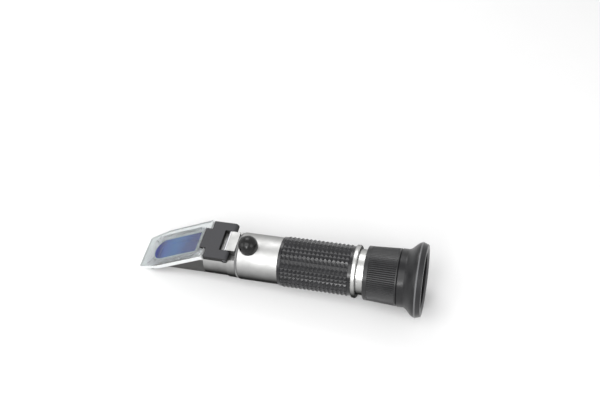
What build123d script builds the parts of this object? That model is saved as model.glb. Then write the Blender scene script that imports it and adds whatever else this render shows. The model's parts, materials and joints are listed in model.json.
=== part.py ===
"""Hand-held optical refractometer, millimetres.

The optical axis is X, with the eyepiece towards +X and the prism face up (+Z).
The origin is on the optical axis, at the middle of the rubber grip.
"""
from build123d import *

import os
from math import cos, pi, radians, sin, sqrt, tan

# Clearances
running_fit = 0.05
seat_gap = 0.02
moving_gap = 0.3

# Main tube
barrel_radius = 13.0
barrel_bore_radius = 11.2
bare_barrel_length = 23.0
barrel_edge_chamfer = 0.4
grip_seat_radius = 12.0

# Rubber grip with pyramid studs
grip_length = 40.2
grip_lip_length = 1.65
grip_lip_radius = 13.45
stud_rows = 36
stud_columns = 16
stud_valley_radius = 13.25
stud_tip_radius = 13.9
stud_crest_width = 0.3

# Prism head
head_radius = 12.0
collar_radius = 12.5
collar_length = 4.5
joint_groove_width = 1.2
joint_groove_radius = 11.6
head_seal = 0.85
spigot_length = 3.6
light_bore_radius = 8.0
throat_radius = 5.0
bevel_angle = 28.0
bevel_crossing = 79.7
nose_length = 20.2
nose_half_width = 10.6
nose_corner_radius = 3.5
nose_rim_depth = 1.5
top_flat_height = 9.2

# Main prism and its cement bead
prism_width = 13.0
prism_front_reach = 19.4
prism_rear_reach = 14.2
prism_front_depth = 2.0
prism_wedge_angle = 8.1
bead_width = 0.7
bead_depth = 1.2

# Hinge of the daylight plate
boss_radius = 2.1
pin_radius = 1.0
pin_station = -49.0
pin_end_inset = 0.1
bracket_thickness = 3.0
bracket_width = 24.4
bracket_edge_chamfer = 0.3
knuckle_half_width = 6.4
slot_reach = 4.15
tongue_half_width = 6.5
tongue_overlap = 0.9
plate_end_gap = 0.18

# Daylight plate
plate_thickness = 2.6
plate_front_reach = 26.8
plate_rear_reach = 21.2
plate_half_width = 12.6
plate_front_half_width = 10.2
plate_taper_length = 14.5
plate_corner_radius = 1.2
plate_notch_depth = 1.5

# Calibration screw, its bush and the rubber cap
cap_roll = 10.0
cap_station = -37.3
cap_radius = 4.8
cap_height = 6.9
cap_dome_radius = 4.2
cap_dome_steps = 3
cap_crown_thickness = 1.9
spot_face_depth = 0.7
spot_face_margin = 0.25
bush_flange_radius = 3.4
bush_flange_height = 1.5
bush_shank_radius = 2.4
screw_radius = 1.25
screw_tip_gap = 0.35
screw_head_radius = 2.1
screw_head_height = 1.3
screw_slot_width = 0.6
screw_slot_depth = 0.6

# Objective on its bimetal strip
cell_front_gap = 0.9
cell_length = 6.2
cell_outer_radius = 8.3
cell_wall = 0.9
lens_seat_length = 1.0
objective_aperture = 6.4
crown_thickness = 3.0
flint_thickness = 2.0
crown_front_curve = 32.0
cement_curve = 24.0
objective_ring_length = 0.7
pad_height = 0.6
strip_thickness = 0.5
strip_width = 5.0
strip_overhang = 0.2
strip_swing_gap = 0.12
anchor_front = -17.0
anchor_length = 8.0
anchor_width = 6.0
anchor_screw_radius = 0.7
anchor_screw_depth = 1.2
anchor_screw_spacing = 4.0
anchor_head_radius = 1.2
anchor_head_height = 0.6
rivet_radius = 0.5
rivet_head_radius = 0.85
rivet_head_height = 0.3
rivet_spacing = 2.8
rivet_rear_inset = 1.6
rivet_depth = 0.4

# Aperture stop in the head
stop_station = -52.0
stop_thickness = 1.2
stop_aperture = 5.5

# Reticle
reticle_holder_front = -2.5
reticle_holder_length = 9.0
reticle_seat_depth = 4.5
reticle_thickness = 1.5
reticle_radius = 9.2
reticle_aperture = 7.6
reticle_ring_length = 1.5

# Rear collar with the polished neck
flange_width = 2.5
flange_radius = 14.4
flange_chamfer = 0.5
neck_radius = 12.4
neck_length = 11.5
neck_edge_chamfer = 0.4
collar_spigot_length = 8.0

# Draw tube with the eyepiece lenses
draw_tube_radius = 9.9
draw_tube_bore = 8.0
draw_tube_front = 13.6
draw_tube_rear = 46.2
seal_station = 28.0
seal_section = 0.96
seal_groove_width = 1.3
eye_stop_radius = 6.4
eye_stop_length = 1.0
eye_lens_thickness = 3.6
eye_lens_curve = 22.0
field_lens_thickness = 3.2
field_lens_curve = 26.0
spacer_length = 6.0
spacer_wall = 0.6
eyepiece_ring_length = 1.0

# Focus ring
focus_gap = 4.0
focus_ring_length = 18.3
focus_front_radius = 14.7
focus_rear_radius = 15.5
focus_lip_length = 2.2
focus_rear_land = 1.3
focus_front_chamfer = 0.35
focus_rear_chamfer = 0.7
knurl_count = 84
knurl_depth = 0.4
knurl_land = 0.45
knurl_inset = 0.05
focus_skirt_depth = 11.5
focus_web_length = 2.0
focus_spigot_length = 5.0
focus_spigot_radius = 13.2
focus_recess_radius = 11.6

# Rubber eyecup
eyecup_collar_radius = 15.6
eyecup_collar_length = 2.4
eyecup_crest_radius = 20.25
eyecup_crest_length = 1.2
eyecup_flare_length = 9.7
eyecup_shoulder_length = 1.9
eyecup_shoulder_drop = 0.6
eyecup_lip_length = 2.1
eyecup_mouth_radius = 18.8
eyecup_wall = 1.5
eyecup_eye_radius = 9.4

# Stations along the axis
grip_front = -grip_length / 2
grip_rear = grip_length / 2
barrel_front = grip_front - bare_barrel_length
collar_rear = barrel_front - joint_groove_width
collar_front = collar_rear - collar_length
spigot_rear = barrel_front + spigot_length
head_front = -bevel_crossing - nose_length
flange_rear = grip_rear + flange_width
neck_rear = flange_rear + neck_length
focus_front = flange_rear + focus_gap
focus_rear = focus_front + focus_ring_length
focus_web_front = focus_front + focus_skirt_depth
focus_web_rear = focus_web_front + focus_web_length
focus_spigot_rear = focus_rear + focus_spigot_length

# The bevel plane carries the prism and the plate: its local x runs up the slope
slope = tan(radians(bevel_angle))
rise = sin(radians(bevel_angle))
run = cos(radians(bevel_angle))
bevel = Plane(origin=(-bevel_crossing, 0, 0), x_dir=(run, 0, rise), z_dir=(-rise, 0, run))
flat_front = top_flat_height / slope - bevel_crossing

# Heights of the hinge above the optical axis
bracket_bottom = top_flat_height + moving_gap
bracket_top = bracket_bottom + bracket_thickness
pin_height = bracket_top - boss_radius
pocket_floor = pin_height - boss_radius - moving_gap

# The calibration screw stands on a plane rolled about the optical axis
cap_up = (0, -sin(radians(cap_roll)), cos(radians(cap_roll)))
cap_plane = Plane(origin=(cap_station, 0, 0), x_dir=(1, 0, 0), z_dir=cap_up)
strip_plane = Plane(origin=(0, 0, 0), x_dir=(1, 0, 0), z_dir=cap_up)
spot_face_height = barrel_radius - spot_face_depth
bush_top = spot_face_height + bush_flange_height
strip_bottom = cell_outer_radius + pad_height
strip_top = strip_bottom + strip_thickness
anchor_bottom = strip_top + strip_swing_gap


def save(builder, name):
    """Label a finished piece and write its STEP file."""
    builder.part.label = name
    export_step(builder.part, f"parts/{name}.step")


def bevel_height(x):
    """Height of the bevel plane at a station along the axis."""
    return (x + bevel_crossing) * slope


def sag(curve, radius):
    """Depth of a spherical lens face at a radius from its axis."""
    return curve - sqrt(curve**2 - radius**2)


def prism_outline(margin):
    """Draw the prism's round-nosed outline on the bevel, grown by a margin."""
    with Locations((prism_width / 2 - prism_front_reach, 0)):
        Circle(prism_width / 2 + margin)
        Rectangle(
            prism_rear_reach + prism_front_reach - prism_width / 2 + margin,
            prism_width + 2 * margin,
            align=(Align.MIN, Align.CENTER),
        )


def prism_wedge(side_gap):
    """Wedge between the bevel, the base and the exit face, grown sideways by a gap."""
    with BuildPart() as wedge:
        with BuildSketch(bevel):
            prism_outline(side_gap)
        extrude(amount=-2 * head_radius)
        split(bisect_by=prism_base, keep=Keep.TOP)
        split(bisect_by=prism_exit, keep=Keep.BOTTOM)
    return wedge.part


os.makedirs("parts", exist_ok=True)

# The prism's base slopes less than the bevel, and its exit face stands square to the axis
base_angle = radians(bevel_angle - prism_wedge_angle)
prism_base = Plane(
    origin=bevel.from_local_coords((-prism_front_reach, 0, -prism_front_depth)),
    x_dir=(cos(base_angle), 0, sin(base_angle)),
    z_dir=(-sin(base_angle), 0, cos(base_angle)),
)
prism_rear = prism_rear_reach * run - bevel_crossing
prism_exit = Plane.YZ.offset(prism_rear)

# Prism head: a bevelled round casting with a hinge knuckle on top
body_front = head_front + nose_rim_depth
head_spigot_radius = barrel_bore_radius - seat_gap
knuckle_front = pin_station - boss_radius
pocket_front = knuckle_front - moving_gap

with BuildPart() as prism_head:
    with BuildSketch(Plane.XZ):
        with BuildLine():
            Polyline(
                (body_front, 0),
                (body_front, head_radius),
                (collar_front, head_radius),
                (collar_front, collar_radius),
                (collar_rear, collar_radius),
                (collar_rear, joint_groove_radius),
                (barrel_front, joint_groove_radius),
                (barrel_front, head_spigot_radius),
                (spigot_rear, head_spigot_radius),
                (spigot_rear, 0),
                close=True,
            )
        make_face()
    revolve(axis=Axis.X)
    # Straight sides on the nose, up to a shoulder
    with BuildSketch(Plane.XY):
        with Locations((flat_front, nose_half_width), (flat_front, -nose_half_width - head_radius)):
            Rectangle(2 * nose_length, head_radius, align=(Align.MAX, Align.MIN))
    extrude(amount=2 * head_radius, both=True, mode=Mode.SUBTRACT)
    # Rim as wide as the nose, which runs forward under the plate
    with BuildSketch(bevel) as nose_rim:
        with Locations((-nose_length / run, 0)):
            Rectangle(nose_length / run, 2 * nose_half_width, align=(Align.MIN, Align.CENTER))
        fillet(nose_rim.vertices().group_by(Axis.X)[0], nose_corner_radius)
    extrude(amount=-nose_rim_depth)
    # The sloping bevel and the flat behind it
    with BuildSketch(Plane.XZ):
        with BuildLine():
            Polyline(
                (head_front - head_radius, bevel_height(head_front - head_radius)),
                (flat_front, top_flat_height),
                (collar_rear, top_flat_height),
                (collar_rear, 2 * head_radius),
                (head_front - head_radius, 2 * head_radius),
                close=True,
            )
        make_face()
    extrude(amount=2 * head_radius, both=True, mode=Mode.SUBTRACT)
    # Hinge knuckle, rounded about the pin
    with BuildSketch(Plane.XZ):
        with Locations((pin_station, pin_height)):
            Circle(boss_radius)
        with BuildLine():
            Polyline(
                (knuckle_front, pin_height),
                (knuckle_front, pocket_floor),
                (collar_rear, pocket_floor),
                (collar_rear, bracket_top),
                (pin_station, bracket_top),
                (pin_station, pin_height),
                close=True,
            )
        make_face()
    extrude(amount=knuckle_half_width, both=True)
    # Pockets for the round ends of the bracket's arms
    with BuildSketch(Plane.XY.offset(pocket_floor)):
        with Locations((0, knuckle_half_width), (0, -knuckle_half_width - head_radius)):
            with Locations((pocket_front, 0)):
                Rectangle(collar_rear - pocket_front, head_radius, align=(Align.MIN, Align.MIN))
    extrude(amount=2 * boss_radius + moving_gap, mode=Mode.SUBTRACT)
    with BuildSketch(Plane.XZ):
        with Locations((pin_station, pin_height)):
            Circle(pin_radius + seat_gap)
    extrude(amount=2 * head_radius, both=True, mode=Mode.SUBTRACT)
    # Light bore, the throat ahead of it, and the pocket that holds the prism
    with BuildSketch(Plane.YZ.offset(flat_front)):
        Circle(light_bore_radius)
    extrude(amount=spigot_rear - flat_front, mode=Mode.SUBTRACT)
    with BuildSketch(prism_exit):
        Circle(throat_radius)
    extrude(amount=flat_front - prism_rear, mode=Mode.SUBTRACT)
    add(prism_wedge(seat_gap), mode=Mode.SUBTRACT)
    with BuildSketch(bevel):
        prism_outline(bead_width)
    extrude(amount=-bead_depth, mode=Mode.SUBTRACT)
save(prism_head, "prism_head")

# Main prism, cemented into the head with its top flush with the bevel
with BuildPart() as main_prism:
    add(prism_wedge(0))
save(main_prism, "main_prism")

# Cement bead around the top of the prism
with BuildPart() as prism_gasket:
    with BuildSketch(bevel):
        prism_outline(bead_width)
    extrude(amount=-bead_depth)
    add(prism_wedge(seat_gap), mode=Mode.SUBTRACT)
save(prism_gasket, "prism_gasket")

# Hinge pin, fixed in the knuckle and free in the bracket's arms
pin_half_length = bracket_width / 2 - pin_end_inset

with BuildPart() as hinge_pin:
    with BuildSketch(Plane.XZ):
        with Locations((pin_station, pin_height)):
            Circle(pin_radius)
    extrude(amount=pin_half_length, both=True)
save(hinge_pin, "hinge_pin")

# Bracket of the daylight plate: a slab with two arms and a tongue over the plate
plate_rear = plate_rear_reach * run - bevel_crossing
bracket_front = plate_rear + plate_end_gap
notch_reach = plate_rear_reach - plate_notch_depth
notch_top = bevel.from_local_coords((notch_reach, 0, plate_thickness))
tongue_front = notch_top.X - tongue_overlap
notch_foot = notch_top.X + (notch_top.Z - bracket_bottom) * slope
slot_front = pin_station - slot_reach
slot_half_width = knuckle_half_width + moving_gap

with BuildPart() as plate_bracket:
    with BuildSketch(Plane.XZ):
        with Locations((bracket_front, bracket_bottom)):
            Rectangle(pin_station - bracket_front, bracket_thickness, align=(Align.MIN, Align.MIN))
        with Locations((pin_station, pin_height)):
            Circle(boss_radius)
    extrude(amount=bracket_width / 2, both=True)
    chamfer(plate_bracket.edges().filter_by(Axis.X).group_by(Axis.Z)[-1], bracket_edge_chamfer)
    with BuildSketch(Plane.XY):
        with Locations((slot_front, 0)):
            Rectangle(
                2 * slot_reach + boss_radius, 2 * slot_half_width, align=(Align.MIN, Align.CENTER)
            )
    extrude(amount=2 * bracket_top, mode=Mode.SUBTRACT)
    with BuildSketch(Plane.XZ):
        with BuildLine():
            Polyline(
                (bracket_front, bracket_bottom),
                (notch_foot, bracket_bottom),
                (notch_top.X, notch_top.Z),
                (tongue_front, notch_top.Z - tongue_overlap * slope),
                (tongue_front, bracket_top),
                (bracket_front, bracket_top),
                close=True,
            )
        make_face()
    extrude(amount=tongue_half_width, both=True)
    with BuildSketch(Plane.XZ):
        with Locations((pin_station, pin_height)):
            Circle(pin_radius + running_fit)
    extrude(amount=bracket_width, both=True, mode=Mode.SUBTRACT)
save(plate_bracket, "plate_bracket")

# Clear daylight plate, notched for the tongue
with BuildPart() as daylight_plate:
    with BuildSketch(bevel) as plate_outline:
        with BuildLine():
            Polyline(
                (-plate_front_reach, 0),
                (-plate_front_reach, plate_front_half_width),
                (plate_taper_length - plate_front_reach, plate_half_width),
                (plate_rear_reach, plate_half_width),
                (plate_rear_reach, tongue_half_width),
                (notch_reach, tongue_half_width),
                (notch_reach, 0),
                close=True,
            )
        make_face()
        mirror(about=Plane.XZ)
        fillet(plate_outline.vertices().group_by(Axis.X)[0], plate_corner_radius)
    extrude(amount=plate_thickness)
save(daylight_plate, "daylight_plate")

# Aperture stop in the light bore
with BuildPart() as aperture_stop:
    with BuildSketch(Plane.YZ.offset(stop_station)):
        Circle(light_bore_radius - seat_gap)
        Circle(stop_aperture, mode=Mode.SUBTRACT)
    extrude(amount=stop_thickness)
save(aperture_stop, "aperture_stop")

# Seal in the groove between the head and the barrel
with BuildPart() as head_o_ring:
    with BuildSketch(Plane.XZ):
        with Locations(((collar_rear + barrel_front) / 2, joint_groove_radius + head_seal / 2)):
            Rectangle(head_seal, head_seal - 2 * seat_gap)
    revolve(axis=Axis.X)
save(head_o_ring, "head_o_ring")

# Barrel, turned down under the grip, with a spot face for the calibration bush
with BuildPart() as barrel:
    with BuildSketch(Plane.XZ):
        with BuildLine():
            Polyline(
                (barrel_front, barrel_bore_radius),
                (barrel_front, barrel_radius - barrel_edge_chamfer),
                (barrel_front + barrel_edge_chamfer, barrel_radius),
                (grip_front, barrel_radius),
                (grip_front, grip_seat_radius),
                (grip_rear, grip_seat_radius),
                (grip_rear, barrel_bore_radius),
                close=True,
            )
        make_face()
    revolve(axis=Axis.X)
    with BuildSketch(cap_plane.offset(spot_face_height)):
        Circle(cap_radius + spot_face_margin)
    extrude(amount=barrel_radius, mode=Mode.SUBTRACT)
    with BuildSketch(cap_plane):
        Circle(bush_shank_radius + seat_gap)
    extrude(amount=barrel_radius, mode=Mode.SUBTRACT)
save(barrel, "barrel")

# Rubber grip: polygon ridges along the barrel, cut into pyramids by grooves between the rows
ridge_front = grip_front + grip_lip_length
column_pitch = (grip_length - 2 * grip_lip_length) / stud_columns
half_row = radians(180 / stud_rows)
groove_floor = stud_valley_radius / cos(half_row)
groove_top = 2 * stud_tip_radius - groove_floor
crest_offset = stud_tip_radius * sin(half_row) - stud_crest_width / 2 * cos(half_row)
crest_reach = stud_tip_radius * cos(half_row) + stud_crest_width / 2 * sin(half_row)
groove_slope = crest_offset / (crest_reach - groove_floor)

with BuildPart() as stud_groove:
    with BuildSketch():
        with BuildLine():
            Polyline(
                (groove_floor, 0),
                (groove_top, (groove_top - groove_floor) * groove_slope),
                (groove_top, (groove_floor - groove_top) * groove_slope),
                close=True,
            )
        make_face()
    extrude(amount=grip_length / 2 - grip_lip_length, both=True)

with BuildPart(Plane.YZ) as rubber_grip:
    for column in range(2 * stud_columns + 1):
        apothem = stud_tip_radius if column % 2 else stud_valley_radius
        with BuildSketch(Plane.YZ.offset(ridge_front + column * column_pitch / 2)):
            RegularPolygon(apothem, stud_rows, major_radius=False)
    loft(ruled=True)
    with PolarLocations(0, stud_rows):
        add(stud_groove.part, mode=Mode.SUBTRACT)
    for lip_front in (grip_front, grip_rear - grip_lip_length):
        with BuildSketch(Plane.YZ.offset(lip_front)):
            Circle(grip_lip_radius)
        extrude(amount=grip_lip_length)
    with BuildSketch(Plane.YZ.offset(grip_front)):
        Circle(grip_seat_radius + seat_gap)
    extrude(amount=grip_length, mode=Mode.SUBTRACT)
save(rubber_grip, "rubber_grip")

# Rear collar: a flange, the polished neck and the bore for the draw tube
draw_bore_radius = draw_tube_radius + running_fit
collar_spigot_front = grip_rear - collar_spigot_length

with BuildPart() as rear_collar:
    with BuildSketch(Plane.XZ):
        with BuildLine():
            Polyline(
                (collar_spigot_front, draw_bore_radius),
                (collar_spigot_front, barrel_bore_radius - seat_gap),
                (grip_rear, barrel_bore_radius - seat_gap),
                (grip_rear, flange_radius),
                (flange_rear, flange_radius),
                (flange_rear, neck_radius),
                (neck_rear - neck_edge_chamfer, neck_radius),
                (neck_rear, neck_radius - neck_edge_chamfer),
                (neck_rear, draw_bore_radius),
                close=True,
            )
        make_face()
    revolve(axis=Axis.X)
    flange_edges = rear_collar.edges().filter_by(GeomType.CIRCLE).group_by(SortBy.RADIUS)[-1]
    chamfer(flange_edges, flange_chamfer)
save(rear_collar, "rear_collar")

# Block that anchors the bimetal strip under the top of the bore
anchor_middle = anchor_front + anchor_length / 2
anchor_screw_places = [
    (anchor_middle - anchor_screw_spacing / 2, 0),
    (anchor_middle + anchor_screw_spacing / 2, 0),
]

with BuildPart() as anchor_block:
    with BuildSketch(strip_plane.offset(anchor_bottom)):
        with Locations((anchor_middle, 0)):
            Rectangle(anchor_length, anchor_width)
    extrude(amount=barrel_bore_radius)
    with BuildSketch(Plane.YZ.offset(anchor_front)):
        Circle(barrel_bore_radius - seat_gap)
    extrude(amount=anchor_length, mode=Mode.INTERSECT)
    with BuildSketch(strip_plane.offset(anchor_bottom)):
        with Locations(*anchor_screw_places):
            Circle(anchor_screw_radius + seat_gap)
    extrude(amount=anchor_screw_depth, mode=Mode.SUBTRACT)
save(anchor_block, "anchor_block")

# Two screws that hold the strip's end to the block from below
anchor_head_top = strip_bottom - strip_swing_gap

with BuildPart() as anchor_screws:
    with BuildSketch(strip_plane.offset(anchor_head_top - anchor_head_height)):
        with Locations(*anchor_screw_places):
            Circle(anchor_head_radius)
    extrude(amount=anchor_head_height)
    with BuildSketch(strip_plane.offset(anchor_head_top)):
        with Locations(*anchor_screw_places):
            Circle(anchor_screw_radius)
    extrude(amount=anchor_bottom + anchor_screw_depth - seat_gap - anchor_head_top)
save(anchor_screws, "anchor_screws")

# Bush for the calibration screw, pressed through the barrel's wall
with BuildPart() as screw_bush:
    with BuildSketch(cap_plane.offset(spot_face_height)):
        Circle(bush_flange_radius)
    extrude(amount=bush_flange_height)
    with BuildSketch(cap_plane.offset(barrel_bore_radius)):
        Circle(bush_shank_radius)
    extrude(amount=spot_face_height - barrel_bore_radius)
    with BuildSketch(cap_plane):
        Circle(screw_radius + running_fit)
    extrude(amount=2 * barrel_radius, mode=Mode.SUBTRACT)
save(screw_bush, "screw_bush")

# Calibration screw, with its tip just above the bimetal strip
screw_tip_height = strip_top + screw_tip_gap
screw_head_bottom = bush_top + moving_gap
screw_head_top = screw_head_bottom + screw_head_height

with BuildPart() as calibration_screw:
    with BuildSketch(cap_plane.offset(screw_tip_height)):
        Circle(screw_radius)
    extrude(amount=screw_head_bottom - screw_tip_height)
    with BuildSketch(cap_plane.offset(screw_head_bottom)):
        Circle(screw_head_radius)
    extrude(amount=screw_head_height)
    with BuildSketch(cap_plane.offset(screw_head_top - screw_slot_depth)):
        Rectangle(4 * screw_head_radius, screw_slot_width)
    extrude(amount=2 * screw_slot_depth, mode=Mode.SUBTRACT)
save(calibration_screw, "calibration_screw")

# Rubber cap over the screw: a cup that grips the bush's flange, domed in tapered steps
cap_base = cap_plane.offset(spot_face_height + running_fit)
cap_step_angle = radians(90 / cap_dome_steps)

with BuildPart() as calibration_cap:
    with BuildSketch(cap_base):
        Circle(cap_radius)
    extrude(amount=cap_height - cap_dome_radius)
    for step in range(cap_dome_steps):
        bottom = cap_dome_radius * sin(step * cap_step_angle)
        top = cap_dome_radius * sin((step + 1) * cap_step_angle)
        with BuildSketch(cap_base.offset(cap_height - cap_dome_radius + bottom)):
            Circle(cap_radius - cap_dome_radius * (1 - cos(step * cap_step_angle)))
        extrude(amount=top - bottom, taper=(step + 1 / 2) * 90 / cap_dome_steps)
    with BuildSketch(cap_base):
        Circle(bush_flange_radius + running_fit)
    extrude(amount=cap_height - cap_crown_thickness, mode=Mode.SUBTRACT)
save(calibration_cap, "calibration_cap")

# Objective cell: a lens barrel with a flat pad on top for the strip
cell_front = spigot_rear + cell_front_gap
cell_rear = cell_front + cell_length
cell_bore_radius = cell_outer_radius - cell_wall
rivet_places = [(cell_rear - rivet_rear_inset, side * rivet_spacing / 2) for side in (-1, 1)]

with BuildPart() as objective_cell:
    with BuildSketch(Plane.YZ.offset(cell_front)):
        Circle(cell_outer_radius)
    extrude(amount=cell_length)
    with BuildSketch(strip_plane):
        with Locations((cell_front, 0)):
            Rectangle(cell_length, strip_width, align=(Align.MIN, Align.CENTER))
    extrude(amount=strip_bottom)
    with BuildSketch(Plane.YZ.offset(cell_front)):
        Circle(objective_aperture)
    extrude(amount=cell_length, mode=Mode.SUBTRACT)
    with BuildSketch(Plane.YZ.offset(cell_front + lens_seat_length)):
        Circle(cell_bore_radius)
    extrude(amount=cell_length, mode=Mode.SUBTRACT)
    with BuildSketch(strip_plane.offset(strip_bottom - pad_height - rivet_depth)):
        with Locations(*rivet_places):
            Circle(rivet_radius + seat_gap)
    extrude(amount=pad_height + rivet_depth, mode=Mode.SUBTRACT)
save(objective_cell, "objective_cell")

# Bimetal strip that carries the cell and bends with temperature
with BuildPart() as bimetal_strip:
    with BuildSketch(strip_plane.offset(strip_bottom)):
        with Locations((cell_front - strip_overhang, 0)):
            Rectangle(
                anchor_front + anchor_length - cell_front + strip_overhang,
                strip_width,
                align=(Align.MIN, Align.CENTER),
            )
        with Locations(*anchor_screw_places):
            Circle(anchor_screw_radius + strip_swing_gap, mode=Mode.SUBTRACT)
        with Locations(*rivet_places):
            Circle(rivet_radius + seat_gap, mode=Mode.SUBTRACT)
    extrude(amount=strip_thickness)
save(bimetal_strip, "bimetal_strip")

# Rivets from the strip into the cell's pad
rivet_tip_height = strip_bottom - pad_height - rivet_depth + seat_gap

with BuildPart() as strip_rivets:
    with BuildSketch(strip_plane.offset(rivet_tip_height)):
        with Locations(*rivet_places):
            Circle(rivet_radius)
    extrude(amount=strip_top - rivet_tip_height)
    with BuildSketch(strip_plane.offset(strip_top)):
        with Locations(*rivet_places):
            Circle(rivet_head_radius)
    extrude(amount=rivet_head_height)
save(strip_rivets, "strip_rivets")

# Cemented doublet: the crown rests on the cell's seat and the flint closes its rear
lens_radius = cell_bore_radius - seat_gap
crown_vertex = cell_front + lens_seat_length + seat_gap - sag(crown_front_curve, objective_aperture)
cement_vertex = crown_vertex + crown_thickness
flint_rear = cement_vertex + flint_thickness
crown_edge = crown_vertex + sag(crown_front_curve, lens_radius)
cement_edge = cement_vertex - sag(cement_curve, lens_radius)

with BuildPart() as objective_crown:
    with BuildSketch(Plane.XZ):
        with BuildLine():
            RadiusArc((crown_vertex, 0), (crown_edge, lens_radius), crown_front_curve)
            Line((crown_edge, lens_radius), (cement_edge, lens_radius))
            RadiusArc((cement_edge, lens_radius), (cement_vertex, 0), cement_curve)
            Line((cement_vertex, 0), (crown_vertex, 0))
        make_face()
    revolve(axis=Axis.X)
save(objective_crown, "objective_crown")

with BuildPart() as objective_flint:
    with BuildSketch(Plane.XZ):
        with BuildLine():
            RadiusArc((cement_vertex, 0), (cement_edge, lens_radius), -cement_curve)
            Polyline(
                (cement_edge, lens_radius), (flint_rear, lens_radius), (flint_rear, 0), (cement_vertex, 0)
            )
        make_face()
    revolve(axis=Axis.X)
save(objective_flint, "objective_flint")

# Ring that keeps the doublet in its cell
with BuildPart() as objective_ring:
    with BuildSketch(Plane.YZ.offset(flint_rear)):
        Circle(lens_radius)
        Circle(objective_aperture, mode=Mode.SUBTRACT)
    extrude(amount=objective_ring_length)
save(objective_ring, "objective_ring")

# Reticle in its holder, kept by a ring
reticle_front = reticle_holder_front + reticle_seat_depth

with BuildPart() as reticle_holder:
    with BuildSketch(Plane.YZ.offset(reticle_holder_front)):
        Circle(barrel_bore_radius - seat_gap)
        Circle(reticle_aperture, mode=Mode.SUBTRACT)
    extrude(amount=reticle_holder_length)
    with BuildSketch(Plane.YZ.offset(reticle_front)):
        Circle(reticle_radius + seat_gap)
    extrude(amount=reticle_holder_length, mode=Mode.SUBTRACT)
save(reticle_holder, "reticle_holder")

with BuildPart() as reticle:
    with BuildSketch(Plane.YZ.offset(reticle_front)):
        Circle(reticle_radius)
    extrude(amount=reticle_thickness)
save(reticle, "reticle")

with BuildPart() as reticle_ring:
    with BuildSketch(Plane.YZ.offset(reticle_front + reticle_thickness)):
        Circle(reticle_radius)
        Circle(reticle_aperture, mode=Mode.SUBTRACT)
    extrude(amount=reticle_ring_length)
save(reticle_ring, "reticle_ring")

# Draw tube, with a seal groove and a stop for the eye lens
seal_groove_floor = draw_bore_radius - seal_section - 2 * running_fit

with BuildPart() as draw_tube:
    with BuildSketch(Plane.YZ.offset(draw_tube_front)):
        Circle(draw_tube_radius)
        Circle(draw_tube_bore, mode=Mode.SUBTRACT)
    extrude(amount=draw_tube_rear - draw_tube_front)
    with BuildSketch(Plane.YZ.offset(draw_tube_rear - eye_stop_length)):
        Circle(draw_tube_bore)
        Circle(eye_stop_radius, mode=Mode.SUBTRACT)
    extrude(amount=eye_stop_length)
    with BuildSketch(Plane.YZ.offset(seal_station - seal_groove_width / 2)):
        Circle(draw_tube_radius)
        Circle(seal_groove_floor, mode=Mode.SUBTRACT)
    extrude(amount=seal_groove_width, mode=Mode.SUBTRACT)
save(draw_tube, "draw_tube")

# Seal that rubs in the neck and damps the focus
with BuildPart() as focus_o_ring:
    with BuildSketch(Plane.XZ):
        with Locations((seal_station, seal_groove_floor + running_fit + seal_section / 2)):
            Rectangle(seal_section, seal_section)
    revolve(axis=Axis.X)
save(focus_o_ring, "focus_o_ring")

# Eyepiece lenses: both are flat on one side, with their curved sides facing
eyepiece_bore_radius = draw_tube_bore - seat_gap
spacer_bore_radius = eyepiece_bore_radius - spacer_wall
eye_lens_rear = draw_tube_rear - eye_stop_length
eye_lens_vertex = eye_lens_rear - eye_lens_thickness
eye_lens_edge = eye_lens_vertex + sag(eye_lens_curve, eyepiece_bore_radius)
spacer_rear = eye_lens_vertex + sag(eye_lens_curve, spacer_bore_radius) - seat_gap
spacer_front = spacer_rear - spacer_length
field_lens_vertex = spacer_front + sag(field_lens_curve, spacer_bore_radius) - seat_gap
field_lens_front = field_lens_vertex - field_lens_thickness
field_lens_edge = field_lens_vertex - sag(field_lens_curve, eyepiece_bore_radius)

with BuildPart() as eye_lens:
    with BuildSketch(Plane.XZ):
        with BuildLine():
            RadiusArc((eye_lens_vertex, 0), (eye_lens_edge, eyepiece_bore_radius), eye_lens_curve)
            Polyline(
                (eye_lens_edge, eyepiece_bore_radius),
                (eye_lens_rear, eyepiece_bore_radius),
                (eye_lens_rear, 0),
                (eye_lens_vertex, 0),
            )
        make_face()
    revolve(axis=Axis.X)
save(eye_lens, "eye_lens")

with BuildPart() as lens_spacer:
    with BuildSketch(Plane.YZ.offset(spacer_front)):
        Circle(eyepiece_bore_radius)
        Circle(spacer_bore_radius, mode=Mode.SUBTRACT)
    extrude(amount=spacer_length)
save(lens_spacer, "lens_spacer")

with BuildPart() as field_lens:
    with BuildSketch(Plane.XZ):
        with BuildLine():
            RadiusArc((field_lens_edge, eyepiece_bore_radius), (field_lens_vertex, 0), field_lens_curve)
            Polyline(
                (field_lens_vertex, 0),
                (field_lens_front, 0),
                (field_lens_front, eyepiece_bore_radius),
                (field_lens_edge, eyepiece_bore_radius),
            )
        make_face()
    revolve(axis=Axis.X)
save(field_lens, "field_lens")

with BuildPart() as eyepiece_ring:
    with BuildSketch(Plane.YZ.offset(field_lens_front - eyepiece_ring_length)):
        Circle(eyepiece_bore_radius)
        Circle(eye_stop_radius, mode=Mode.SUBTRACT)
    extrude(amount=eyepiece_ring_length)
save(eyepiece_ring, "eyepiece_ring")

# Focus ring: a ribbed cone over the neck, with a spigot behind it for the eyecup
knurl_front = focus_front + focus_lip_length
knurl_rear = focus_rear - focus_rear_land


def ribbed_outline(radius):
    """Corners of a ring of ribs, each with a narrow land and a groove beside it."""
    corners = []
    for rib in range(knurl_count):
        middle = rib * 2 * pi / knurl_count
        half_land = knurl_land / 2 / radius
        groove = middle + pi / knurl_count
        for reach, angle in (
            (radius, middle - half_land),
            (radius, middle + half_land),
            (radius - knurl_depth, groove),
        ):
            corners.append((reach * cos(angle), reach * sin(angle)))
    return corners


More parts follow.
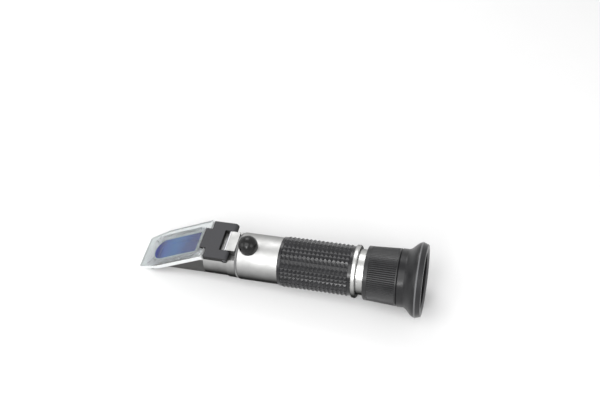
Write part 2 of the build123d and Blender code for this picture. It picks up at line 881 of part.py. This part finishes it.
with BuildPart() as focus_ring:
    with BuildSketch(Plane.XZ):
        with BuildLine():
            Polyline(
                (focus_front, 0),
                (focus_front, focus_front_radius - focus_front_chamfer),
                (focus_front + focus_front_chamfer, focus_front_radius),
                (knurl_front, focus_front_radius),
                (knurl_front, 0),
                close=True,
            )
        make_face()
        with BuildLine():
            Polyline(
                (knurl_rear, 0),
                (knurl_rear, focus_rear_radius),
                (focus_rear - focus_rear_chamfer, focus_rear_radius),
                (focus_rear, focus_rear_radius - focus_rear_chamfer),
                (focus_rear, focus_spigot_radius),
                (focus_spigot_rear, focus_spigot_radius),
                (focus_spigot_rear, 0),
                close=True,
            )
        make_face()
    revolve(axis=Axis.X)
    for station, radius in ((knurl_front, focus_front_radius), (knurl_rear, focus_rear_radius)):
        with BuildSketch(Plane.YZ.offset(station)):
            with BuildLine():
                Polyline(*ribbed_outline(radius - knurl_inset), close=True)
            make_face()
    loft(ruled=True)
    # Bores for the neck, the draw tube and the eyecup's hollow
    for station, length, radius in (
        (focus_front, focus_skirt_depth, neck_radius + running_fit),
        (focus_web_front, focus_web_length, draw_tube_radius + seat_gap),
        (focus_web_rear, focus_spigot_rear - focus_web_rear, focus_recess_radius),
    ):
        with BuildSketch(Plane.YZ.offset(station)):
            Circle(radius)
        extrude(amount=length, mode=Mode.SUBTRACT)
save(focus_ring, "focus_ring")

# Eyecup: a flared rubber funnel over the ring's spigot
crest_front = focus_rear + eyecup_flare_length
crest_rear = crest_front + eyecup_crest_length
mouth = crest_rear + eyecup_lip_length
floor_rear = focus_spigot_rear + eyecup_wall
shoulder_front = crest_front - eyecup_shoulder_length

with BuildPart() as eyecup:
    with BuildSketch(Plane.XZ):
        with BuildLine():
            Polyline(
                (focus_rear, focus_spigot_radius + seat_gap),
                (focus_rear, eyecup_collar_radius),
                (focus_rear + eyecup_collar_length, eyecup_collar_radius),
                (shoulder_front, eyecup_crest_radius - eyecup_shoulder_drop),
                (crest_front, eyecup_crest_radius),
                (crest_rear, eyecup_crest_radius),
                (mouth, eyecup_mouth_radius),
                (mouth, eyecup_mouth_radius - eyecup_wall),
                (shoulder_front, eyecup_crest_radius - eyecup_shoulder_drop - eyecup_wall),
                (floor_rear, eyecup_collar_radius),
                (floor_rear, eyecup_eye_radius),
                (focus_spigot_rear, eyecup_eye_radius),
                (focus_spigot_rear, focus_spigot_radius + seat_gap),
                close=True,
            )
        make_face()
    revolve(axis=Axis.X)
save(eyecup, "eyecup")
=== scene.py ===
"""Hand-held refractometer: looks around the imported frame, in metres."""

import json
import math

import bpy
from mathutils import Euler, Matrix, Vector


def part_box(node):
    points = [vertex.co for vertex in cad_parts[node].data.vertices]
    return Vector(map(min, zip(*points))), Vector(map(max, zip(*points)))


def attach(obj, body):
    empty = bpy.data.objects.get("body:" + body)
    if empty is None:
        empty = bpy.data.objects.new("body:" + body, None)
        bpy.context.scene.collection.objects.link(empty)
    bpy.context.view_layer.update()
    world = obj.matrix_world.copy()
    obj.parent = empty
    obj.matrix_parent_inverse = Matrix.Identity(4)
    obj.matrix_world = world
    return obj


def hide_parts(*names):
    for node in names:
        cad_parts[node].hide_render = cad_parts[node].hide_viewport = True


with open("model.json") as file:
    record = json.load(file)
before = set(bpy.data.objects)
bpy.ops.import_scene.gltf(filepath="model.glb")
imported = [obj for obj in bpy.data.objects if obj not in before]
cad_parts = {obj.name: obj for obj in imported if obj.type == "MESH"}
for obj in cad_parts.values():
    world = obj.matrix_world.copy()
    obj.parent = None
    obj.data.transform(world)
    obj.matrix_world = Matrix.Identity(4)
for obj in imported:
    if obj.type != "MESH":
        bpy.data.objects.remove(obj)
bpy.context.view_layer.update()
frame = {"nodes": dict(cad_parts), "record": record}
nodes = frame["nodes"]

MM = 0.001
DOWN = Vector((0, 0, -1))
REAR = Vector((1, 0, 0))

# Boxes of the pieces that the looks follow, read from the frame
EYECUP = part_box("eyecup")
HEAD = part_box("prism_head")
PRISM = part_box("main_prism")

# Bevel under the prism and the plate
BEVEL_ANGLE = math.radians(28)
BEVEL_NORMAL = Vector((-math.sin(BEVEL_ANGLE), 0, math.cos(BEVEL_ANGLE)))

# Eyecup: the smooth form of the conical steps in the frame
EYECUP_COLLAR_RADIUS = 15.6 * MM
EYECUP_COLLAR_LENGTH = 3.0 * MM
EYECUP_FLARE_END = 54.5 * MM
EYECUP_BEAD_HEIGHT = 0.22 * MM
EYECUP_BEAD_LENGTH = 0.9 * MM
EYECUP_MOUTH_RADIUS = 18.8 * MM
EYECUP_MOUTH_ROUND = 0.6 * MM
EYECUP_LIP_RADIUS = 15.6 * MM
EYECUP_LIP_DEPTH = 0.9 * MM
EYECUP_WALL = 1.5 * MM
EYECUP_BORE_RADIUS = 13.22 * MM
EYECUP_FLOOR = 51.4 * MM
EYECUP_FLOOR_FRONT = 49.9 * MM
EYECUP_EYE_RADIUS = 9.4 * MM

# Rubber cap, turned about the screw's axis
CAP_ROLL = math.radians(10)
CAP_STATION = -37.3 * MM
CAP_BASE_HEIGHT = 12.35 * MM
CAP_RADIUS = 5.3 * MM
CAP_BORE_RADIUS = 3.45 * MM
CAP_BORE_DEPTH = 5.0 * MM
CAP_HEIGHT = 7.5 * MM
CAP_DOME_START = 2.6 * MM

# Fineness of the turned pieces, and the angles up to which an edge is shaded smooth
TURNED_SEGMENTS = 128
CURVE_STEPS = 16
WELD_DISTANCE = 1e-7
NODE_SMOOTH_ANGLE = math.radians(30)
TURNED_SMOOTH_ANGLE = math.radians(40)

# Metals: colour, the colour of its smudges, lowest and highest roughness
METALS = {
    "satin_metal": ((0.44, 0.44, 0.435), (0.38, 0.38, 0.375), 0.42, 0.50),
    "polished_metal": ((0.56, 0.56, 0.55), (0.48, 0.48, 0.47), 0.26, 0.34),
    "polished_steel": ((0.50, 0.50, 0.52), (0.40, 0.40, 0.42), 0.15, 0.25),
    "brass": ((0.72, 0.55, 0.26), (0.60, 0.45, 0.20), 0.20, 0.35),
    "bimetal": ((0.55, 0.48, 0.38), (0.45, 0.40, 0.33), 0.30, 0.45),
    "black_anodised": ((0.03, 0.03, 0.032), (0.05, 0.05, 0.052), 0.40, 0.55),
}
HEAD_METAL = ((0.40, 0.40, 0.395), (0.34, 0.34, 0.335), 0.40, 0.50)
# Painted light: the head's bevel face, under the plate, is coloured paler than its metal
BEVEL_PAINTED_LIGHT = (0.95, 0.95, 0.98)
BEVEL_LIGHT_FACING = (0.95, 0.99)
# Painted shade: a darker tint on the metals' reflection at low angles
METAL_EDGE_SHADE = (0.3, 0.3, 0.3)
# Painted shade: colour that darkens the metals where they face down
BELOW_SHADE = (0.13, 0.13, 0.13)
BELOW_FACING = (-0.55, 0.15)

# Rubbers and plastics: colour, the colour where it is worn, lowest and highest roughness, gloss, grain
RUBBERS = {
    "focus_black": ((0.014, 0.014, 0.015), (0.024, 0.024, 0.025), 0.30, 0.40, 0.3, 4000.0),
    "grip_rubber": ((0.003, 0.003, 0.004), (0.008, 0.008, 0.010), 0.20, 0.30, 0.4, 2500.0),
    "cap_rubber": ((0.003, 0.003, 0.003), (0.006, 0.006, 0.006), 0.16, 0.22, 0.3, 2500.0),
    "seal_rubber": ((0.16, 0.16, 0.16), (0.20, 0.20, 0.20), 0.40, 0.50, 0.3, 2500.0),
    "cement": ((0.72, 0.80, 0.78), (0.80, 0.86, 0.84), 0.40, 0.60, 0.5, 2500.0),
}
EYECUP_RUBBER = ((0.006, 0.006, 0.007), (0.013, 0.013, 0.014), 0.28, 0.38, 0.3, 2500.0)
# Painted light: the eyecup's faces turned to the rear are coloured paler
EYECUP_REAR_PAINTED_LIGHT = (0.045, 0.045, 0.048)
EYECUP_REAR_LIGHT_FACING = (0.2, 0.7)
# Painted highlight: the eyecup's crest is coloured paler beyond this radius
EYECUP_CREST_HIGHLIGHT = (0.13, 0.13, 0.135)
EYECUP_HIGHLIGHT_RADIUS = 20.0 * MM
BRACKET_PLASTIC = ((0.030, 0.030, 0.033), (0.040, 0.040, 0.044), 0.45, 0.60, 0.3, 2500.0)
# Painted shade: the bracket's sides are coloured nearly black
BRACKET_SIDE_SHADE = (0.004, 0.004, 0.004)
BRACKET_SHADE_FACING = (-0.8, -0.3)

# Clear plastic of the plate: its matt edges and its clear faces
PLATE_EDGE_COLOUR = (0.90, 0.92, 0.92)
PLATE_FACE_COLOUR = (0.88, 0.92, 0.92)
PLATE_TRANSMISSION = (0.35, 1.0)
PLATE_ROUGHNESS = (0.35, 0.01)
PLATE_FACING = (0.80, 0.95)
PLATE_MARKS = (1.0, 4.0, 1.0)

# Prism's colours from its front to its rear, by share of its length
PRISM_COLOURS = {
    0.12: (0.001, 0.022, 0.34),
    0.5: (0.003, 0.13, 0.38),
    1.0: (0.075, 0.10, 0.38),
}
PRISM_CLOUDING = 0.12

GLASS_COLOURS = ((0.95, 0.98, 0.97), (0.90, 0.95, 0.95))

# Scales of the noise patterns, per metre, and depths of the relief
SMUDGE_SCALE = 180.0
TURNING_LINES = (3000.0, 40.0, 40.0)
CAST_GRAIN = 1400.0
PATCH_SCALE = 220.0
MARK_SCALE = 500.0
CLOUD_SCALE = 160.0
GLASS_SCALE = 300.0
FLOOR_SCALE = 30.0
METAL_RELIEF = 0.01 * MM
RUBBER_RELIEF = 0.02 * MM
PLATE_RELIEF = 0.002 * MM

# Camera, solved from the round sections of the object in the photograph
CAMERA_PLACE = Vector((0.08811, -0.24290, 0.36739))
CAMERA_AZIMUTH = math.radians(20.842)
CAMERA_ELEVATION = math.radians(50.150)
CAMERA_ROLL = math.radians(-9.406)
CAMERA_LENS = 49.32
CAMERA_NEAR = 0.01
SENSOR_WIDTH = 36.0

# Square lamps: place, the point that it faces, side and power
LAMPS = {
    "key": ((-0.08, -0.38, 0.62), (-0.02, 0, 0), 0.60, 3.2),
    "back": ((-0.20, 0.50, 0.55), (-0.03, 0, 0), 0.35, 1.6),
    "left": ((-0.60, -0.25, 0.35), (-0.03, 0, 0), 0.40, 1.0),
    "right": ((0.55, -0.25, 0.35), (0.03, 0, 0), 0.40, 1.2),
    "small": ((-0.05, -0.55, 0.35), (-0.02, 0, 0), 0.12, 1.0),
}
WORLD_LIGHT = 0.55
WORLD_SEEN = 1.0

# Floor
FLOOR_SIZE = 1.8
FLOOR_GAP = 0.5 * MM
FLOOR_COLOURS = ((0.80, 0.80, 0.80), (0.82, 0.82, 0.82))


def add_camera():
    """Camera at the photograph's viewing angle."""
    data = bpy.data.cameras.new("camera")
    data.lens = CAMERA_LENS
    data.sensor_width = SENSOR_WIDTH
    data.clip_start = CAMERA_NEAR
    camera = bpy.data.objects.new("camera", data)
    bpy.context.scene.collection.objects.link(camera)
    level = Euler((math.pi / 2 - CAMERA_ELEVATION, 0, CAMERA_AZIMUTH)).to_matrix()
    roll = Matrix.Rotation(CAMERA_ROLL, 3, "Z")
    camera.matrix_world = Matrix.Translation(CAMERA_PLACE) @ (level @ roll).to_4x4()
    bpy.context.scene.camera = camera


def add_world():
    """White surround for what the camera and reflections see, softer as a light."""
    world = bpy.data.worlds.new("world")
    bpy.context.scene.world = world
    world.use_nodes = True
    tree = world.node_tree
    background = tree.nodes["Background"]
    background.inputs["Color"].default_value = (1.0, 1.0, 1.0, 1.0)
    path = tree.nodes.new("ShaderNodeLightPath")
    seen = path.outputs["Is Camera Ray"]
    for ray in ("Is Glossy Ray", "Is Transmission Ray"):
        either = tree.nodes.new("ShaderNodeMath")
        either.operation = "MAXIMUM"
        tree.links.new(seen, either.inputs[0])
        tree.links.new(path.outputs[ray], either.inputs[1])
        seen = either.outputs[0]
    strength = tree.nodes.new("ShaderNodeMapRange")
    strength.inputs["To Min"].default_value = WORLD_LIGHT
    strength.inputs["To Max"].default_value = WORLD_SEEN
    tree.links.new(seen, strength.inputs["Value"])
    tree.links.new(strength.outputs["Result"], background.inputs["Strength"])


def add_lamps():
    """Soft square lamps round the object."""
    for name, (place, target, side, power) in LAMPS.items():
        data = bpy.data.lights.new(name, "AREA")
        data.shape = "SQUARE"
        data.size = side
        data.energy = power
        lamp = bpy.data.objects.new(name, data)
        bpy.context.scene.collection.objects.link(lamp)
        lamp.location = place
        lamp.rotation_euler = (Vector(target) - Vector(place)).to_track_quat("-Z", "Y").to_euler()


class Shader:
    """Short names for building one node material."""

    def __init__(self, name):
        self.material = bpy.data.materials.new(name)
        self.material.use_nodes = True
        self.tree = self.material.node_tree
        self.tree.nodes.clear()
        output = self.tree.nodes.new("ShaderNodeOutputMaterial")
        self.surface = self.tree.nodes.new("ShaderNodeBsdfPrincipled")
        self.link(self.surface.outputs["BSDF"], output.inputs["Surface"])

    def set(self, **values):
        """Set constants on the surface's own sockets."""
        for name, value in values.items():
            socket = self.surface.inputs[name.replace("_", " ")]
            socket.default_value = (*value, 1.0) if isinstance(value, tuple) else value
        return self

    def node(self, kind, **values):
        """New node, with values for its sockets or its own settings."""
        made = self.tree.nodes.new("ShaderNode" + kind)
        for name, value in values.items():
            if hasattr(made, name):
                setattr(made, name, value)
            else:
                made.inputs[name.replace("_", " ")].default_value = value
        return made

    def link(self, source, target):
        """Join two sockets."""
        self.tree.links.new(source, target)

    def drive(self, name, source):
        """Link a value to one of the surface's sockets."""
        self.link(source, self.surface.inputs[name])

    def place(self, scale=(1.0, 1.0, 1.0)):
        """Object coordinates in metres, scaled along each axis."""
        mapping = self.node("Mapping")
        mapping.inputs["Scale"].default_value = scale
        self.link(self.node("TexCoord").outputs["Object"], mapping.inputs["Vector"])
        return mapping.outputs["Vector"]

    def noise(self, scale, detail=4.0, stretch=(1.0, 1.0, 1.0)):
        """Noise value between about 0.3 and 0.7."""
        made = self.node("TexNoise", Scale=scale, Detail=detail)
        self.link(self.place(stretch), made.inputs["Vector"])
        return made.outputs["Fac"]

    def spread(self, value, low, high, start=0.3, stop=0.7):
        """Map a value's range to another range."""
        limits = {"From Min": start, "From Max": stop, "To Min": low, "To Max": high}
        made = self.node("MapRange")
        for name, limit in limits.items():
            made.inputs[name].default_value = limit
        self.link(value, made.inputs["Value"])
        return made.outputs["Result"]

    def facing(self, direction, start, stop):
        """Value that rises from zero to one as the surface turns to a direction of the object."""
        product = self.node("VectorMath", operation="DOT_PRODUCT")
        product.inputs[1].default_value = direction
        self.link(self.node("TexCoord").outputs["Normal"], product.inputs[0])
        return self.spread(product.outputs["Value"], 0.0, 1.0, start, stop)

    def mix(self, factor, first, second):
        """Blend of two constant colours by a value."""
        made = self.node("Mix", data_type="RGBA")
        made.inputs["A"].default_value = (*first, 1.0)
        made.inputs["B"].default_value = (*second, 1.0)
        self.link(factor, made.inputs["Factor"])
        return made.outputs["Result"]

    def tint(self, factor, base, colour, blend="MIX"):
        """Linked colour, blended with a constant one by a value."""
        made = self.node("Mix", data_type="RGBA", blend_type=blend)
        made.inputs["B"].default_value = (*colour, 1.0)
        self.link(base, made.inputs["A"])
        self.link(factor, made.inputs["Factor"])
        return made.outputs["Result"]

    def bump(self, height, distance, strength=0.5):
        """Bump the surface by a height."""
        made = self.node("Bump", Strength=strength, Distance=distance)
        self.link(height, made.inputs["Height"])
        self.drive("Normal", made.outputs["Normal"])


def start_metal(name, values):
    """Shader of a smudged metal and its colour, with painted shade where the metal faces down and on its
    reflection at low angles.
    """
    colour, smudged, low, high = values
    shader = Shader(name).set(Metallic=1.0, Specular_Tint=METAL_EDGE_SHADE)
    smudge = shader.noise(SMUDGE_SCALE, 5.0)
    shader.drive("Roughness", shader.spread(smudge, low, high))
    plain = shader.mix(shader.spread(smudge, 0.0, 1.0), colour, smudged)
    return shader, shader.tint(shader.facing(DOWN, *BELOW_FACING), plain, BELOW_SHADE, "MULTIPLY")


def metal(name, values):
    """Turned metal, with fine lines round the optical axis."""
    shader, colour = start_metal(name, values)
    shader.drive("Base Color", colour)
    shader.bump(shader.noise(1.0, 3.0, TURNING_LINES), METAL_RELIEF)
    return shader.material


def head_metal():
    """Satin cast metal of the head, with painted light that makes the face on its bevel pale."""
    shader, colour = start_metal("cast_metal", HEAD_METAL)
    shader.drive("Base Color", shader.tint(shader.facing(BEVEL_NORMAL, *BEVEL_LIGHT_FACING), colour, BEVEL_PAINTED_LIGHT))
    shader.bump(shader.noise(CAST_GRAIN, 3.0), METAL_RELIEF, 0.4)
    return shader.material


def start_rubber(name, values):
    """Shader of a moulded rubber or plastic with fine grain, and its colour, paler in worn patches."""
    colour, worn, low, high, gloss, grain = values
    shader = Shader(name).set(Specular_IOR_Level=gloss)
    patches = shader.noise(PATCH_SCALE, 5.0)
    shader.drive("Roughness", shader.spread(patches, low, high))
    shader.bump(shader.noise(grain, 3.0), RUBBER_RELIEF)
    return shader, shader.mix(shader.spread(patches, 0.0, 1.0), colour, worn)


def rubber(name, values):
    """Plain moulded rubber or plastic."""
    shader, colour = start_rubber(name, values)
    shader.drive("Base Color", colour)
    return shader.material


def bracket_material():
    """Dull grey plastic, with painted shade that makes its sides nearly black."""
    shader, colour = start_rubber("grey_plastic", BRACKET_PLASTIC)
    shaded_sides = shader.facing(DOWN, *BRACKET_SHADE_FACING)
    shader.drive("Base Color", shader.tint(shaded_sides, colour, BRACKET_SIDE_SHADE))
    return shader.material


def eyecup_material():
    """Eyecup rubber, with painted light on its faces turned to the rear and a painted highlight on its
    crest.
    """
    shader, colour = start_rubber("eyecup_skin", EYECUP_RUBBER)
    rear_lit = shader.tint(shader.facing(REAR, *EYECUP_REAR_LIGHT_FACING), colour, EYECUP_REAR_PAINTED_LIGHT)
    radius = shader.node("VectorMath", operation="LENGTH")
    shader.link(shader.place((0.0, 1.0, 1.0)), radius.inputs[0])
    crest = shader.spread(radius.outputs["Value"], 0.0, 1.0, EYECUP_HIGHLIGHT_RADIUS, EYECUP[1].z)
    shader.drive("Base Color", shader.tint(crest, rear_lit, EYECUP_CREST_HIGHLIGHT))
    return shader.material


def plate_material():
    """Clear moulded plastic with fine wiping marks and matt sawn edges."""
    shader = Shader("clear_plastic").set(IOR=1.49, Specular_IOR_Level=0.12)
    clear = shader.node("Math", operation="MAXIMUM")
    for socket, side in zip(clear.inputs, (BEVEL_NORMAL, -BEVEL_NORMAL)):
        shader.link(shader.facing(side, *PLATE_FACING), socket)
    face = clear.outputs[0]
    shader.drive("Base Color", shader.mix(face, PLATE_EDGE_COLOUR, PLATE_FACE_COLOUR))
    shader.drive("Transmission Weight", shader.spread(face, *PLATE_TRANSMISSION, 0.0, 1.0))
    shader.drive("Roughness", shader.spread(face, *PLATE_ROUGHNESS, 0.0, 1.0))
    shader.bump(shader.noise(MARK_SCALE, 6.0, PLATE_MARKS), PLATE_RELIEF, 0.3)
    return shader.material


def prism_material():
    """Prism with its painted base shining through: blue in front, teal, then violet."""
    shader = Shader("blue_glass").set(Roughness=0.25, Specular_IOR_Level=0.05)
    separate = shader.node("SeparateXYZ")
    shader.link(shader.place(), separate.inputs[0])
    along = shader.spread(separate.outputs["X"], 0.0, 1.0, PRISM[0].x, PRISM[1].x)
    cloud = shader.node("Math", operation="MULTIPLY_ADD")
    cloud.inputs[1].default_value = PRISM_CLOUDING
    shader.link(shader.noise(CLOUD_SCALE, 3.0), cloud.inputs[0])
    shader.link(along, cloud.inputs[2])
    ramp = shader.node("ValToRGB")
    front, *between, rear = PRISM_COLOURS.items()
    stops = ramp.color_ramp.elements
    for stop, (share, colour) in ((stops[0], front), (stops[1], rear)):
        stop.position = share
        stop.color = (*colour, 1.0)
    for share, colour in between:
        stops.new(share).color = (*colour, 1.0)
    shader.link(cloud.outputs[0], ramp.inputs["Fac"])
    shader.drive("Base Color", ramp.outputs["Color"])
    return shader.material


def glass_material():
    """Clear lens glass."""
    shader = Shader("clear_glass").set(Roughness=0.02, IOR=1.52, Transmission_Weight=1.0)
    shader.drive("Base Color", shader.mix(shader.noise(GLASS_SCALE), *GLASS_COLOURS))
    return shader.material


def make_finishes():
    """Material for each slot of the record."""
    finishes = {name: metal(name, values) for name, values in METALS.items()}
    finishes.update((name, rubber(name, values)) for name, values in RUBBERS.items())
    finishes["eyecup_rubber"] = eyecup_material()
    finishes["grey_plastic"] = bracket_material()
    finishes["clear_plastic"] = plate_material()
    finishes["blue_glass"] = prism_material()
    finishes["clear_glass"] = glass_material()
    return finishes


def shade_smooth(mesh_object, angle):
    """Shade an object smoothly across edges flatter than an angle."""
    bpy.ops.object.select_all(action="DESELECT")
    bpy.context.view_layer.objects.active = mesh_object
    mesh_object.select_set(True)
    bpy.ops.object.shade_auto_smooth(angle=angle)


def dress_nodes(finishes):
    """Give every node of the frame the finish of its slot, and the head its own."""
    own = {"prism_head": head_metal()}
    for entry in frame["record"]["subparts"]:
        node = nodes[entry["node"]]
        node.data.materials.clear()
        node.data.materials.append(own.get(entry["node"], finishes[entry["material_slot"]]))
        shade_smooth(node, NODE_SMOOTH_ANGLE)


def arc(centre, radii, start, stop):
    """Points of an elliptical arc in a profile, by angle in degrees from the axis."""
    points = []
    for step in range(CURVE_STEPS + 1):
        angle = math.radians(start + (stop - start) * step / CURVE_STEPS)
        points.append((centre[0] + radii[0] * math.cos(angle), centre[1] + radii[1] * math.sin(angle)))
    return points


def s_curve(start, stop):
    """Points from one level to another, along the axis at both ends."""
    points = []
    for step in range(CURVE_STEPS + 1):
        share = step / CURVE_STEPS
        eased = share * share * (3 - 2 * share)
        points.append((start[0] + (stop[0] - start[0]) * share, start[1] + (stop[1] - start[1]) * eased))
    return points


def turned(name, profile, placement, finish, body, replaced):
    """Turned piece: a closed profile of stations and radii, spun about the local X axis."""
    profile = [point for index, point in enumerate(profile) if point != profile[index - 1]]
    rings = len(profile)
    vertices = []
    for step in range(TURNED_SEGMENTS):
        angle = 2 * math.pi * step / TURNED_SEGMENTS
        vertices += [(x, radius * math.cos(angle), radius * math.sin(angle)) for x, radius in profile]
    faces = []
    for step in range(TURNED_SEGMENTS):
        here = step * rings
        ahead = (step + 1) % TURNED_SEGMENTS * rings
        for ring in range(rings):
            after = (ring + 1) % rings
            faces.append((here + ring, here + after, ahead + after, ahead + ring))
    mesh = bpy.data.meshes.new(name)
    mesh.from_pydata([placement @ Vector(vertex) for vertex in vertices], [], faces)
    mesh.validate()
    mesh.materials.append(finish)
    piece = bpy.data.objects.new(name, mesh)
    bpy.context.scene.collection.objects.link(piece)
    shade_smooth(piece, TURNED_SMOOTH_ANGLE)
    bpy.ops.object.mode_set(mode="EDIT")
    bpy.ops.mesh.select_all(action="SELECT")
    bpy.ops.mesh.remove_doubles(threshold=WELD_DISTANCE)
    bpy.ops.mesh.normals_make_consistent(inside=False)
    bpy.ops.object.mode_set(mode="OBJECT")
    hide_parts(replaced)
    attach(piece, body)


def add_eyecup(finish):
    """Eyecup with a smooth flare, a fine bead on its crest and a turned-in lip."""
    front = EYECUP[0].x
    mouth = EYECUP[1].x
    shoulder = EYECUP[1].z - EYECUP_BEAD_HEIGHT
    bead_rear = EYECUP_FLARE_END + EYECUP_BEAD_LENGTH
    bead_middle = (EYECUP_FLARE_END + EYECUP_BEAD_LENGTH / 2, shoulder)
    round_middle = (mouth - EYECUP_MOUTH_ROUND, EYECUP_MOUTH_RADIUS)
    profile = [(front, EYECUP_BORE_RADIUS), (front, EYECUP_COLLAR_RADIUS)]
    profile += s_curve((front + EYECUP_COLLAR_LENGTH, EYECUP_COLLAR_RADIUS), (EYECUP_FLARE_END, shoulder))
    profile += arc(bead_middle, (EYECUP_BEAD_LENGTH / 2, EYECUP_BEAD_HEIGHT), 180, 0)
    profile += [(bead_rear, shoulder)]
    profile += arc(round_middle, (EYECUP_MOUTH_ROUND, EYECUP_MOUTH_ROUND), 90, 0)
    profile += [
        (mouth, EYECUP_MOUTH_RADIUS - EYECUP_WALL),
        (mouth - EYECUP_LIP_DEPTH, EYECUP_LIP_RADIUS),
        (mouth - 2 * EYECUP_LIP_DEPTH, EYECUP_LIP_RADIUS),
    ]
    profile += s_curve((EYECUP_FLARE_END, shoulder - EYECUP_WALL), (EYECUP_FLOOR, EYECUP_COLLAR_RADIUS))
    profile += [
        (EYECUP_FLOOR, EYECUP_EYE_RADIUS),
        (EYECUP_FLOOR_FRONT, EYECUP_EYE_RADIUS),
        (EYECUP_FLOOR_FRONT, EYECUP_BORE_RADIUS),
    ]
    turned("eyecup_smooth", profile, Matrix.Identity(4), finish, "eyepiece", "eyecup")


def add_cap(finish):
    """Rubber cap with a smooth dome."""
    profile = [(0.0, CAP_BORE_RADIUS), (0.0, CAP_RADIUS), (CAP_DOME_START, CAP_RADIUS)]
    profile += arc((CAP_DOME_START, 0.0), (CAP_HEIGHT - CAP_DOME_START, CAP_RADIUS), 90, 0)
    profile += [(CAP_BORE_DEPTH, 0.0), (CAP_BORE_DEPTH, CAP_BORE_RADIUS)]
    up = Matrix.Rotation(CAP_ROLL, 4, "X") @ Matrix.Rotation(-math.pi / 2, 4, "Y")
    station = Matrix.Translation((CAP_STATION, 0, 0))
    height = Matrix.Translation((CAP_BASE_HEIGHT, 0, 0))
    turned(
        "calibration_cap_smooth", profile, station @ up @ height, finish, "calibration_cap_body",
        "calibration_cap",
    )


def add_floor():
    """Pale floor under the eyecup and the foot of the head."""
    rear, low_rear = EYECUP[0].x, EYECUP[0].z
    front, low_front = HEAD[0].x, HEAD[0].z
    tilt = math.atan2(low_front - low_rear, rear - front)
    bpy.ops.mesh.primitive_plane_add(size=FLOOR_SIZE, location=(rear, 0, low_rear - FLOOR_GAP))
    floor = bpy.context.object
    floor.name = "floor"
    floor.rotation_euler = (0, tilt, 0)
    shader = Shader("floor").set(Roughness=0.9, Specular_IOR_Level=0.1)
    shader.drive("Base Color", shader.mix(shader.noise(FLOOR_SCALE), *FLOOR_COLOURS))
    floor.data.materials.append(shader.material)


bpy.context.scene.view_settings.view_transform = "Standard"
add_camera()
add_world()
add_lamps()
add_floor()
finishes = make_finishes()
dress_nodes(finishes)
add_eyecup(finishes["eyecup_rubber"])
add_cap(finishes["cap_rubber"])
